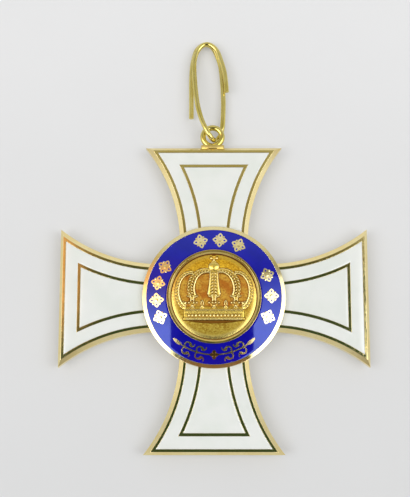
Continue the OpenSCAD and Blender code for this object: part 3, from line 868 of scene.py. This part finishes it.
def crown_disc(satin):
    """The struck disc as one fine mesh: a square grid drawn out to a circle, with a flat underside."""
    relief, *masks = crown_relief()
    n = 300
    u, v = np.meshgrid(np.linspace(-1, 1, n), np.linspace(-1, 1, n))
    x = (u * np.sqrt(1 - v * v / 2) * DISC_R).ravel()
    y = (v * np.sqrt(1 - u * u / 2) * DISC_R).ravel()
    z = Z_DISC + relief.sample(relief.h, x, y)
    grid = np.stack([x, y, z], 1).reshape(n, n, 3)
    obj = make_piece("crown_relief", slab(grid, Z_DISC_FLOOR + SEAM), satin, ["crown_disc"], 80)
    x, y, _ = np.array([v.co for v in obj.data.vertices]).T / MM
    tone = np.stack([relief.sample(mask, x, y) for mask in masks], 1)
    layer = obj.data.color_attributes.new("tone", "FLOAT_COLOR", "POINT")
    layer.data.foreach_set("color", tone.ravel())
    polish = obj.data.attributes.new("polish", "FLOAT", "POINT")
    polish.data.foreach_set("value", np.clip((np.hypot(x, y) - POLISH_R) / 0.5, 0, 1))


BACK_R = 10.0
BACK_RING = (9.3, 6.7)
BACK_DISC = 6.0
BACK_CELL = 0.55


def back_pieces(gold, blue):
    """The plain back: a turned frame, a plain blue ring and a plain slightly dished disc."""
    out, inn = BACK_RING
    low = BACK_CELL - SEAM
    wall = rounded([(BACK_R, Z_BACK - CLEAR), (BACK_R, 0), (out, 0), (out, BACK_CELL)], [0.2, 0.08], 5)
    middle = rounded([(inn, BACK_CELL), (inn, 0), (BACK_DISC, 0), (BACK_DISC, BACK_CELL)], [0.1, 0.1], 5)
    outline = [*wall, *middle, (0.4, BACK_CELL), (0.4, Z_BACK - CLEAR)]
    make_piece("back_frame", lathe(outline, 256), gold, ["back_medallion"])
    radii = np.linspace(out - SEAM, inn + SEAM, 22)
    edge = np.minimum(radii[0] - radii, radii - radii[-1])
    top = [(r, 0.03 + 0.05 * max(0.0, 1 - e / 0.3) ** 2) for r, e in zip(radii, edge)]
    outline = [(radii[0], low), *top, (radii[-1], low)]
    make_piece("back_blue", lathe(outline, 256), blue, ["back_blue_ring"])
    disc_r = BACK_DISC - SEAM
    dish = [(disc_r, low), (disc_r, 0), (BACK_DISC - 0.8, 0.0), (BACK_DISC - 1.1, 0.1), (0.05, 0.12)]
    outline = [*rounded(dish, [0.1, 0.3, 0.3], 5), (0.05, low)]
    make_piece("back_plate", lathe(outline, 192), gold, ["back_disc"])


# The wire's route, the same rows as in the part's source: x, y and z on its middle line
LOOP = [
    (-3.9, 31.8, 1.15), (-3.9, 35.8, 0.95), (-3.9, 39.4, 0.75), (-3.6, 42.5, 0.58), (-2.9, 44.7, 0.47),
    (-1.5, 45.7, 0.45), (-0.1, 45.0, 0.47), (1.0, 42.5, 0.55), (1.4, 40.3, 0.65), (1.6, 37.6, 0.85),
    (1.7, 35.0, 1.0), (1.65, 32.3, 1.1), (1.5, 30.1, 1.12), (1.15, 28.8, 1.1), (0.65, 28.0, 1.3),
    (0.15, 27.65, 1.85), (-0.15, 27.65, 2.5), (-0.6, 28.05, 3.05), (-1.35, 29.3, 3.27), (-2.2, 31.4, 3.05),
    (-2.8, 33.9, 2.7), (-3.2, 37.1, 2.3), (-3.4, 39.9, 1.95), (-3.4, 42.1, 1.65), (-2.9, 44.0, 1.45),
    (-1.9, 45.2, 1.38), (-0.7, 45.3, 1.38), (0.5, 44.3, 1.42), (1.3, 42.3, 1.55), (1.9, 40.0, 1.7),
    (2.15, 38.0, 1.8), (2.25, 36.4, 1.88)]
WIRE_R = 0.425
WIRE_END = [0.22, 0.36, 0.41]


def cut_end(last, before):
    """Three points that close one end of the wire, from its last point to just beyond it."""
    towards = last - before
    towards /= np.linalg.norm(towards)
    return [last + towards * d for d in (0.0, 0.02, 0.03)]


def ribbon_loop(gold):
    """The bent wire, with ends that are cut square and a little burred."""
    path = catmull(LOOP, 9)
    first, last = cut_end(path[0], path[1]), cut_end(path[-1], path[-2])
    path = np.concatenate([first[::-1], path[1:-1], last])
    radii = np.full(len(path), WIRE_R)
    radii[:3] = WIRE_END
    radii[-3:] = WIRE_END[::-1]
    make_piece("wire_loop", tube(path, radii), gold, ["ribbon_loop"], 60)


class Tree:
    """Short calls for building shader nodes."""

    def __init__(self, tree):
        self.tree = tree

    def add(self, kind, **settings):
        node = self.tree.nodes.new(kind)
        for key, value in settings.items():
            if key in node.inputs:
                node.inputs[key].default_value = value
            else:
                setattr(node, key, value)
        return node

    def link(self, a, b):
        self.tree.links.new(a, b)

    def feed(self, socket, value):
        """Gives a socket a link, a colour or a number."""
        if isinstance(value, bpy.types.NodeSocket):
            self.link(value, socket)
        else:
            socket.default_value = (*value, 1) if socket.type == "RGBA" else value

    def part(self, vector, axis):
        """The X, Y or Z part of a vector."""
        split = self.add("ShaderNodeSeparateXYZ")
        self.link(vector, split.inputs["Vector"])
        return split.outputs[axis]

    def ramp(self, value, stops):
        """A colour ramp; a stop is a place and a colour or a grey."""
        node = self.add("ShaderNodeValToRGB")
        elements = node.color_ramp.elements
        while len(elements) < len(stops):
            elements.new(0.5)
        for e, (at, c) in zip(elements, stops):
            e.position = at
            e.color = (*c, 1) if isinstance(c, tuple) else (c, c, c, 1)
        self.link(value, node.inputs["Fac"])
        return node.outputs["Color"]

    def mix(self, factor, a, b, blend="MIX"):
        """Mixes two colours; each may be a socket or a colour."""
        node = self.add("ShaderNodeMix", data_type="RGBA", blend_type=blend)
        for index, value in ((0, factor), (6, a), (7, b)):
            self.feed(node.inputs[index], value)
        return node.outputs[2]


class Material(Tree):
    """A new material with its surface shader."""

    def __init__(self, name):
        self.mat = bpy.data.materials.new(name)
        self.mat.use_nodes = True
        super().__init__(self.mat.node_tree)
        self.shader = self.tree.nodes["Principled BSDF"]

    def set(self, **values):
        """Sets or links the shader's sockets; a name has _ for each space."""
        for key, value in values.items():
            self.feed(self.shader.inputs[key.replace("_", " ")], value)

    def place(self, stretch=(1, 1, 1)):
        """Object coordinates, in metres."""
        coord = self.add("ShaderNodeTexCoord")
        if stretch == (1, 1, 1):
            return coord.outputs["Object"]
        mapping = self.add("ShaderNodeMapping", Scale=stretch)
        self.link(coord.outputs["Object"], mapping.inputs["Vector"])
        return mapping.outputs["Vector"]

    def noise(self, size_mm, detail, stretch=(1, 1, 1), roughness=0.5):
        """Noise whose features measure about size_mm."""
        node = self.add("ShaderNodeTexNoise", Scale=1 / (size_mm * MM), Detail=detail, Roughness=roughness)
        self.link(self.place(stretch), node.inputs["Vector"])
        return node.outputs["Fac"]

    def cloud(self, size_mm, detail, *stops):
        """A colour ramp over noise."""
        return self.ramp(self.noise(size_mm, detail), stops)

    def along_y(self, low, high, stops):
        """A colour ramp along Y, from low to high in metres."""
        reach = self.add("ShaderNodeMapRange")
        self.link(self.part(self.place(), "Y"), reach.inputs["Value"])
        reach.inputs["From Min"].default_value = low
        reach.inputs["From Max"].default_value = high
        return self.ramp(reach.outputs["Result"], stops)

    def bump(self, *heights):
        """Chains bumps; each is a height socket, a depth in millimetres and a strength."""
        normal = None
        for height, depth_mm, strength in heights:
            node = self.add("ShaderNodeBump", Distance=depth_mm * MM, Strength=strength)
            self.link(height, node.inputs["Height"])
            if normal is not None:
                self.link(normal, node.inputs["Normal"])
            normal = node.outputs["Normal"]
        self.set(Normal=normal)


def polished_gold(name, pale, deep, rough):
    """Polished gilding: slow changes of tone, fine wiping scratches and a faint unevenness."""
    m = Material(name)
    tone = m.cloud(3.5, 3, (0.35, 0.0), (0.65, 1.0))
    speck = m.cloud(0.35, 4, (0.55, 0.0), (0.72, 0.35))
    wear_and_painted_highlight = (deep[0] * 0.8, deep[1] * 0.72, deep[2] * 0.6)
    m.set(Metallic=1.0, Base_Color=m.mix(speck, m.mix(tone, deep, pale), wear_and_painted_highlight),
          Roughness=m.cloud(0.8, 5, (0.3, rough[0]), (0.75, rough[1])))
    wiped = m.noise(0.12, 2, (1, 0.06, 1))
    m.bump((m.noise(1.6, 2), 0.012, 0.35), (wiped, 0.002, 0.3), (m.noise(0.06, 2), 0.0015, 0.25))
    return m.mat


def satin_gold():
    """Struck gilding: a grained field with painted shade that darkens it down the disc and turns it from
    orange to olive, a brighter raised crown with painted highlights on its crests, orange recesses and
    painted brown shade in the corners. The disc's masks say where each of them lies."""
    m = Material("satin_gilt")
    mask = m.add("ShaderNodeAttribute", attribute_name="tone")
    parts = m.add("ShaderNodeSeparateColor")
    m.link(mask.outputs["Color"], parts.inputs["Color"])
    recess, painted_shade, proud = (parts.outputs[c] for c in ("Red", "Green", "Blue"))
    polish = m.add("ShaderNodeAttribute", attribute_name="polish").outputs["Fac"]
    # Painted shade: darker and more olive towards the bottom of the disc, oranger towards its top.
    painted_shade_down_disc = m.along_y(-6 * MM, 6 * MM, [(0.0, (0.43, 0.59, 0.77)), (0.5, (0.73, 0.87, 1.0)),
                                       (1.0, (0.85, 0.93, 0.5))])
    grain = m.noise(0.26, 4, (0.8, 1, 1), 0.75)
    glint = m.ramp(grain, [(0.48, 0.0), (0.62, 0.8)])
    pitted = m.ramp(m.noise(0.34, 4, (0.6, 1, 1), 0.8), [(0.42, 0.95), (0.6, 0.0)])
    colour = m.mix(m.cloud(2.4, 3, (0.35, 0.0), (0.7, 1.0)), (0.65, 0.32, 0.03), (0.88, 0.49, 0.06))
    colour = m.mix(pitted, colour, (0.455, 0.192, 0.015))
    colour = m.mix(glint, colour, (1.0, 0.62, 0.09))
    colour = m.mix(1.0, colour, painted_shade_down_disc, "MULTIPLY")
    colour = m.mix(proud, colour, (0.78, 0.58, 0.12))
    # Painted highlight with some rubbed wear: the crests are painted pale, broken up by noise.
    wear_and_painted_highlight = m.mix(1.0, mask.outputs["Alpha"], m.cloud(0.22, 3, (0.35, 0.65), (0.55, 1.0)), "MULTIPLY")
    colour = m.mix(wear_and_painted_highlight, colour, (0.92, 0.8, 0.37))
    orange = m.mix(m.cloud(1.5, 3, (0.4, 0.0), (0.6, 1.0)), (0.42, 0.15, 0.02), (0.56, 0.34, 0.05))
    spot = m.ramp(m.noise(0.3, 4, roughness=0.7), [(0.46, 0.0), (0.62, 0.7)])
    colour = m.mix(recess, colour, m.mix(spot, orange, (0.26, 0.09, 0.012)))
    # Painted shade: brown in the relief's dips, in the lens under the circlet and between the pearls.
    colour = m.mix(painted_shade, colour, (0.19, 0.08, 0.012))
    # The polished edge gets the same painted shade down the disc.
    colour = m.mix(polish, colour, m.mix(1.0, (1.0, 0.6, 0.14), painted_shade_down_disc, "MULTIPLY"))
    rough = m.mix(proud, m.ramp(grain, [(0.3, 0.38), (0.7, 0.55)]), (0.25, 0.25, 0.25))
    m.set(Metallic=1.0, Specular_Tint=(0.75, 0.5, 0.2), Base_Color=colour,
          Roughness=m.mix(polish, rough, (0.17, 0.17, 0.17)))
    m.bump((grain, 0.026, 0.8), (m.noise(0.25, 3, (0.6, 1, 1)), 0.01, 0.4))
    return m.mat


def white_enamel():
    """Glassy white enamel: cool white with a faint tint, slow waves in its gloss and rare pinholes."""
    m = Material("white_enamel")
    tint = m.cloud(4.0, 3, (0.35, (0.695, 0.732, 0.707)), (0.65, (0.735, 0.76, 0.748)))
    pin = m.cloud(0.28, 2, (0.76, 0.0), (0.8, 0.25))
    m.set(IOR=1.52, Coat_Weight=0.6, Coat_Roughness=0.03, Subsurface_Weight=0.15, Subsurface_Scale=0.0006,
          Subsurface_Radius=(1.0, 1.0, 0.9), Base_Color=m.mix(pin, tint, (0.6, 0.62, 0.58)),
          Roughness=m.cloud(1.5, 4, (0.3, 0.06), (0.7, 0.14)))
    m.bump((m.noise(2.2, 2), 0.02, 0.3), (m.noise(0.3, 3), 0.002, 0.3))
    return m.mat


def blue_enamel():
    """Deep cobalt enamel: darker and lighter clouds under a glassy surface with slight waves."""
    m = Material("blue_enamel")
    cloud = m.cloud(2.6, 4, (0.3, (0.003, 0.0015, 0.25)), (0.7, (0.006, 0.002, 0.34)))
    fine = m.cloud(0.22, 4, (0.5, 0.0), (0.8, 0.3))
    m.set(IOR=1.62, Specular_IOR_Level=0.85, Specular_Tint=(0.34, 0.46, 1.0),
          Base_Color=m.mix(fine, cloud, (0.008, 0.007, 0.36)),
          Roughness=m.cloud(1.0, 3, (0.3, 0.02), (0.7, 0.05)))
    m.bump((m.noise(1.6, 2), 0.006, 0.2), (m.noise(0.25, 3), 0.001, 0.15))
    return m.mat


def floor_material():
    """Pale paper with a faint tooth, with painted shade that darkens it towards the foot of the cross and
    painted light that makes it paler far behind it. It glows a little: painted light that stands for the
    light a bright studio throws under and around a small thing."""
    m = Material("pale_paper")
    # Painted shade towards the foot of the cross, and painted light on the far backdrop.
    near, here, far = (0.405, 0.415, 0.425), (0.516, 0.526, 0.541), (0.78, 0.79, 0.8)
    grey = m.along_y(-0.05, 0.5, [(0.0, near), (0.2, here), (0.36, here), (1.0, far)])
    patches = m.cloud(30, 2, (0.3, 0.0), (0.7, 0.3))
    # Painted light: the paper glows a little, which lightens the shadows under and around the cross.
    m.set(Base_Color=m.mix(patches, grey, (0.91, 0.91, 0.903), "MULTIPLY"), Roughness=0.9,
          Specular_IOR_Level=0.1, Emission_Color=(1.0, 1.0, 1.0), Emission_Strength=0.22)
    m.bump((m.noise(0.6, 3), 0.02, 0.2))
    return m.mat


def stage():
    """A wide pale floor that curves up into a pale backdrop far behind the object."""
    size, far, high, bend = 1.6, 0.9, 1.2, 0.3
    angles = np.linspace(0, math.pi / 2, 10)
    turn = [(far - bend + bend * math.sin(a), bend - bend * math.cos(a)) for a in angles]
    profile = [(-size, 0.0)] + turn + [(far, high)]
    verts = [(x * (size if z <= 0 else 0.7), y, z) for x in (-1, 1) for y, z in profile]
    n = len(profile)
    mesh = bpy.data.meshes.new("pale_floor")
    mesh.from_pydata(verts, [], [(i, i + 1, n + i + 1, n + i) for i in range(n - 1)])
    mesh.polygons.foreach_set("use_smooth", [True] * len(mesh.polygons))
    mesh.materials.append(floor_material())
    new_object("pale_floor", mesh)


PANEL_AWAY = 0.9
PANEL_W = 0.666
PANEL_RADIANCE = 3.35


def panel_light(name, lean, y_low, y_high, end):
    """A soft panel leaned over the cross about the Y axis, whose light fades to end at the cross's head."""
    length = y_high - y_low
    data = bpy.data.lights.new(name, "AREA")
    data.shape = "RECTANGLE"
    data.size = PANEL_W
    data.size_y = length
    data.energy = PANEL_RADIANCE * math.pi * PANEL_W * length
    data.use_nodes = True
    glow = Tree(data.node_tree)
    along = glow.part(glow.add("ShaderNodeNewGeometry").outputs["Parametric"], "Y")
    colour = glow.ramp(along, [(0.7, 1.0), (0.96, end)])
    glow.link(colour, data.node_tree.nodes["Emission"].inputs["Color"])
    light = new_object(name, data)
    a = math.radians(lean)
    light.location = (PANEL_AWAY * math.sin(a), (y_low + y_high) / 2, PANEL_AWAY * math.cos(a))
    light.rotation_euler = (0, a, 0)


class Sky(Tree):
    """The world's nodes, which colour each direction."""

    def __init__(self):
        self.world = bpy.data.worlds.new("studio")
        self.world.use_nodes = True
        super().__init__(self.world.node_tree)

    def by(self, axis, *stops):
        """Colour by one part of the direction, which runs from -1 to 1."""
        shift = self.add("ShaderNodeMath", operation="MULTIPLY_ADD")
        self.link(self.part(self.add("ShaderNodeTexCoord").outputs["Generated"], axis), shift.inputs[0])
        for index in (1, 2):
            shift.inputs[index].default_value = 0.5
        return self.ramp(shift.outputs[0], [(at * 0.5 + 0.5, colour) for at, colour in stops])


def lights():
    """Soft panels left and right of the camera, a dark ceiling right overhead, and pale surroundings."""
    panel_light("panel_left", -31.0, -0.45, 0.185, (0.26, 0.18, 0.1))
    panel_light("panel_right", 30.5, -0.42, 0.21, (0.3, 0.3, 0.3))
    sky = Sky()
    dark, dusk, pale, viewer = (0.045, 0.075, 0.04), (0.25, 0.25, 0.22), (0.3, 0.3, 0.31), (0.26, 0.2, 0.1)
    across = sky.by("X", (-0.5, 0.5), (-0.2, dusk), (-0.115, dark), (0.15, dark), (0.2, dusk), (0.5, 0.5))
    along = sky.by("Y", (-0.3, 0.0), (-0.17, (0.28, 0.16, 0.08)), (-0.135, (0.2, 0.1, 0.045)), (-0.105, 0.0),
                   (0.155, 0.0), (0.175, (0.22, 0.2, 0.1)), (0.27, (0.4, 0.38, 0.23)),
                   (0.35, (0.72, 0.7, 0.6)), (0.45, (0.85, 0.85, 0.8)))
    overhead = sky.mix(1.0, across, along, "LIGHTEN")
    # A peach wall on the left, which the left florets and the left rim show
    left = sky.by("X", (-0.14, 1.0), (-0.11, 0.0))
    low = sky.by("Y", (0.09, 0.0), (0.13, 1.0), (0.24, 1.0), (0.31, 0.0))
    overhead = sky.mix(sky.mix(1.0, left, low, "MULTIPLY"), overhead, (0.9, 0.5, 0.27))
    around = sky.by("Z", (0.0, (0.7, 0.7, 0.71)), (0.5, (0.6, 0.6, 0.61)), (0.85, 0.44))
    colour = sky.mix(sky.by("Z", (0.85, 0.0), (0.92, 1.0)), around, overhead)
    # A dim tan strip on the viewer's side, and paler walls far to the left and right
    nearer = sky.by("Y", (-0.88, 1.0), (-0.72, viewer), (-0.5, viewer), (-0.2, 1.0))
    colour = sky.mix(1.0, colour, nearer, "MULTIPLY")
    sides = sky.by("X", (-0.95, pale), (-0.35, 0.0), (0.35, 0.0), (0.95, pale))
    fade = sky.by("Y", (0.2, 1.0), (0.42, 0.0))
    colour = sky.mix(1.0, colour, sky.mix(1.0, sides, fade, "MULTIPLY"), "ADD")
    sky.link(colour, sky.tree.nodes["Background"].inputs["Color"])
    bpy.context.scene.world = sky.world


# The camera's target and distance in millimetres, its angles in degrees, and its lens
CAMERA_TARGET = (-1.507, 8.366, 3.0)
CAMERA_AWAY = 180
CAMERA_ANGLES = (-1.34, 79.67, -1.36)
FOCAL_PX = 1062.8
LONG_SIDE_PX = 497
SENSOR = 36.0


def camera():
    """The photograph's view: nearly from above, from the foot of the cross."""
    azimuth, elevation, roll = (math.radians(v) for v in CAMERA_ANGLES)
    level = math.cos(elevation)
    back = Vector((-math.sin(azimuth) * level, -math.cos(azimuth) * level, math.sin(elevation)))
    right = Vector((0, 0, 1)).cross(back).normalized()
    up = back.cross(right)
    across = right * math.cos(roll) + up * math.sin(roll)
    upward = up * math.cos(roll) - right * math.sin(roll)
    data = bpy.data.cameras.new("camera")
    data.sensor_width = SENSOR
    data.lens = FOCAL_PX * SENSOR / LONG_SIDE_PX
    data.clip_start = 0.01
    data.clip_end = 10
    cam = new_object("camera", data)
    place = Vector(CAMERA_TARGET) * MM + back * (CAMERA_AWAY * MM)
    cam.matrix_world = Matrix.Translation(place) @ Matrix((across, upward, back)).transposed().to_4x4()
    bpy.context.scene.camera = cam


# Each gilding: its pale and deep tones, and its least and greatest roughness
GILT = {
    "polished": ((0.93, 0.8, 0.42), (0.89, 0.73, 0.34), (0.03, 0.08)),
    "ornament": ((0.97, 0.87, 0.54), (0.95, 0.82, 0.42), (0.05, 0.12)),
    "wire": ((0.79, 0.685, 0.25), (0.65, 0.53, 0.12), (0.06, 0.16)),
    "solder": ((0.7, 0.56, 0.22), (0.6, 0.46, 0.15), (0.34, 0.46)),
    "rim": ((0.96, 0.86, 0.52), (0.93, 0.8, 0.42), (0.05, 0.12)),
    "bead": ((0.72, 0.55, 0.19), (0.62, 0.46, 0.14), (0.12, 0.2)),
    "groove": ((0.3, 0.13, 0.03), (0.2, 0.08, 0.015), (0.4, 0.5)),
    # The groove: dark brown, partly patina and partly painted shade.
    "spray": ((0.8, 0.64, 0.36), (0.72, 0.54, 0.26), (0.08, 0.16)),
    "boss": ((0.36, 0.22, 0.07), (0.28, 0.16, 0.05), (0.13, 0.18))}


def build():
    """All the pieces, each with its own material."""
    gilt = {name: polished_gold(name + "_gilt", *tones) for name, tones in GILT.items()}
    white = white_enamel()
    blue = blue_enamel()
    plate = build_frame(gilt["polished"])
    foot = HALF_SPAN + 0.05
    second_material(plate, gilt["wire"], lambda at: at.y > foot)
    second_material(plate, gilt["solder"], lambda at: foot < at.y < HALF_SPAN + FOOT_H + 0.06)
    for side, turn in zip(("right", "top", "left", "bottom"), QUARTERS):
        arm_enamel(white, side, turn)
    medallion_ring(gilt["rim"], gilt["bead"], gilt["groove"])
    blue_ring(blue)
    for group in FLORET_GROUPS:
        florets(gilt["ornament"], group)
    scroll_spray(gilt["spray"], gilt["boss"])
    crown_disc(satin_gold())
    back_pieces(gilt["polished"], blue)
    ribbon_loop(gilt["wire"])


camera()
build()
stage()
lights()
bpy.context.scene.view_settings.view_transform = "Standard"
